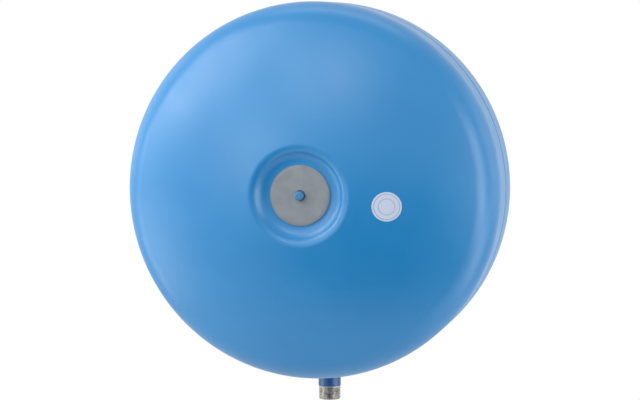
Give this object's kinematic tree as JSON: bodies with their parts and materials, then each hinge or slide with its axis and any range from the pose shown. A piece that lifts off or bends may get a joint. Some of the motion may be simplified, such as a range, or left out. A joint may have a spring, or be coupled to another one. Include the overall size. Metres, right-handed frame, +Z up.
{
  "type": "diaphragm expansion vessel",
  "caption": "Flat round steel diaphragm expansion vessel for a heating or water system, with a threaded bottom connection and a capped gas valve in the front.",
  "frame": {"origin": "on the wall's plane, midway between the two entry holes of the wall strap", "axes": "+Z up, +Y from the vessel into the wall, +X to the right of someone who looks at the vessel's front"},
  "size_m": [0.436, 0.2515, 0.476],
  "materials": {
    "painted_steel": "smooth gloss powder coat",
    "painted_weld": "painted weld bead",
    "connection_steel": "turned steel, painted above the thread",
    "zinc_plated_steel": "zinc plated",
    "diaphragm_rubber": "moulded butyl rubber",
    "seal_rubber": "moulded rubber",
    "valve_brass": "turned brass",
    "core_brass": "turned brass",
    "seal_plastic": "white sealing plastic",
    "spring_steel": "drawn wire",
    "cap_plastic": "moulded blue plastic",
    "cover_plastic": "fine-grained grey plastic",
    "sticker": "coated white sticker"
  },
  "bodies": {
    "vessel": {"front_shell": "painted_steel", "rear_shell": "painted_steel", "seam_weld": "painted_weld", "diaphragm": "diaphragm_rubber", "clamp_ring": "zinc_plated_steel", "nipple": "connection_steel", "nipple_weld": "painted_weld", "outlet_guard": "zinc_plated_steel", "valve_stem": "valve_brass", "valve_gasket": "seal_rubber", "valve_washer": "zinc_plated_steel", "valve_nut": "zinc_plated_steel", "core_barrel": "core_brass", "core_seal_ring": "seal_plastic", "core_spring": "spring_steel", "cover_disc": "cover_plastic", "label": "sticker", "wall_strap": "painted_steel", "strap_welds": "painted_weld"},
    "cap_travel": {"cap_seal": "seal_rubber"},
    "cap": {"valve_cap": "cap_plastic"},
    "valve_pin": {"core_pin": "core_brass", "core_poppet": "core_brass", "core_poppet_seal": "seal_rubber"}
  },
  "joints": [
    {"name": "cap_slide", "type": "slide", "parent": "vessel", "child": "cap_travel", "axis": [0, -1, 0], "range_m": [0, 0.009]},
    {"name": "cap_turn", "type": "hinge", "parent": "cap_travel", "child": "cap", "pos_m": [0, -0.247, -0.08], "axis": [0, -1, 0], "range_deg": [0, 4080]},
    {"name": "pin_press", "type": "slide", "parent": "vessel", "child": "valve_pin", "axis": [0, 1, 0], "range_m": [0, 0.0015], "stiffness_N_per_m": 500, "springref_m": -0.002, "deforming": ["core_spring"]}
  ],
  "couplings": [
    {"joint": "cap_turn", "follows": "cap_slide", "rad_per_m": 7912.1}
  ]
}
